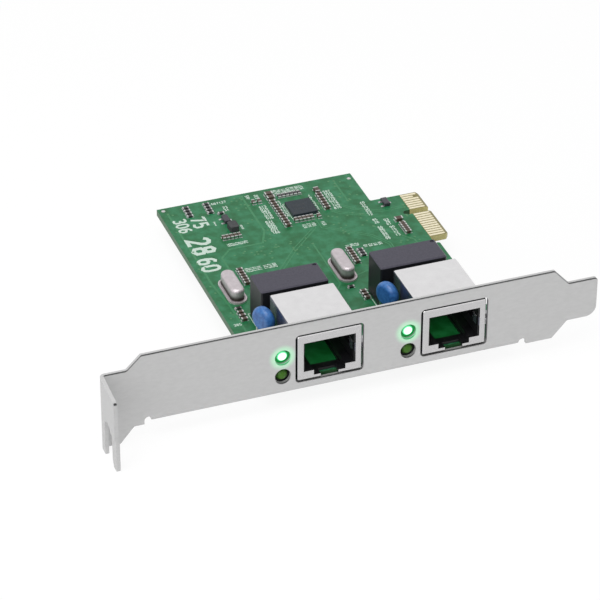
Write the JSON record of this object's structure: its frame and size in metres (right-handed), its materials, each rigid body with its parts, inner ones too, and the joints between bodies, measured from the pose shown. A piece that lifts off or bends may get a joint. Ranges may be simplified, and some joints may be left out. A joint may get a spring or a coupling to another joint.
{
  "type": "network interface card",
  "caption": "Copper network interface card with a short edge connector, on a full-height slot bracket with shielded jacks and status lamps.",
  "frame": {"origin": "on the key notch's centre line at the outer edge of the board's edge connector, at mid-thickness of the board", "axes": "+X out of the edge connector, along the bracket towards its tongue; +Y from the bracket's face into the card; +Z out of the component side"},
  "size_m": [0.12, 0.0899, 0.0226],
  "materials": {
    "sheet_steel": "satin nickel-plated sheet",
    "screw_steel": "bright plated",
    "solder_mask": "semi-gloss green solder mask",
    "gold_plate": "polished gold plate",
    "shield_tinplate": "bright tinplate",
    "black_insulator": "moulded, satin",
    "black_epoxy": "moulded epoxy, matt",
    "tinned_wire": "tinned",
    "lit_green_lens": "diffused lens, lit",
    "green_lens": "diffused lens, unlit",
    "blue_dip": "dipped resin, semi-gloss",
    "nickel_can": "drawn nickel-plated can",
    "ceramic_brown": "sintered ceramic",
    "resistor_black": "glazed",
    "ferrite_grey": "ferrite, matt"
  },
  "bodies": {
    "root": {"bracket": "sheet_steel", "bracket_screw_1": "screw_steel", "bracket_screw_2": "screw_steel", "bridge_chip": "black_epoxy", "bridge_chip_terminals": "tinned_wire", "chip_capacitors": "ceramic_brown", "chip_part_ends": "tinned_wire", "chip_resistors": "resistor_black", "circuit_board": "solder_mask", "controller_a": "black_epoxy", "controller_a_terminals": "tinned_wire", "controller_b": "black_epoxy", "controller_b_terminals": "tinned_wire", "crystal_a": "nickel_can", "crystal_b": "nickel_can", "crystal_leads_a": "tinned_wire", "crystal_leads_b": "tinned_wire", "disc_capacitor_a": "blue_dip", "disc_capacitor_b": "blue_dip", "disc_leads_a": "tinned_wire", "disc_leads_b": "tinned_wire", "edge_contacts": "gold_plate", "inductor": "ferrite_grey", "jack_contacts_a": "gold_plate", "jack_contacts_b": "gold_plate", "jack_insulator_a": "black_insulator", "jack_insulator_b": "black_insulator", "jack_shield_a": "shield_tinplate", "jack_shield_b": "shield_tinplate", "lamp_holder_a": "black_insulator", "lamp_holder_b": "black_insulator", "lamp_leads_a": "tinned_wire", "lamp_leads_b": "tinned_wire", "lamp_lower_a": "green_lens", "lamp_lower_b": "green_lens", "lamp_upper_a": "lit_green_lens", "lamp_upper_b": "lit_green_lens", "small_package_legs": "tinned_wire", "small_packages": "black_epoxy", "transformer_case_a": "black_epoxy", "transformer_case_b": "black_epoxy", "transformer_pins_a": "tinned_wire", "transformer_pins_b": "tinned_wire"}
  },
  "joints": []
}
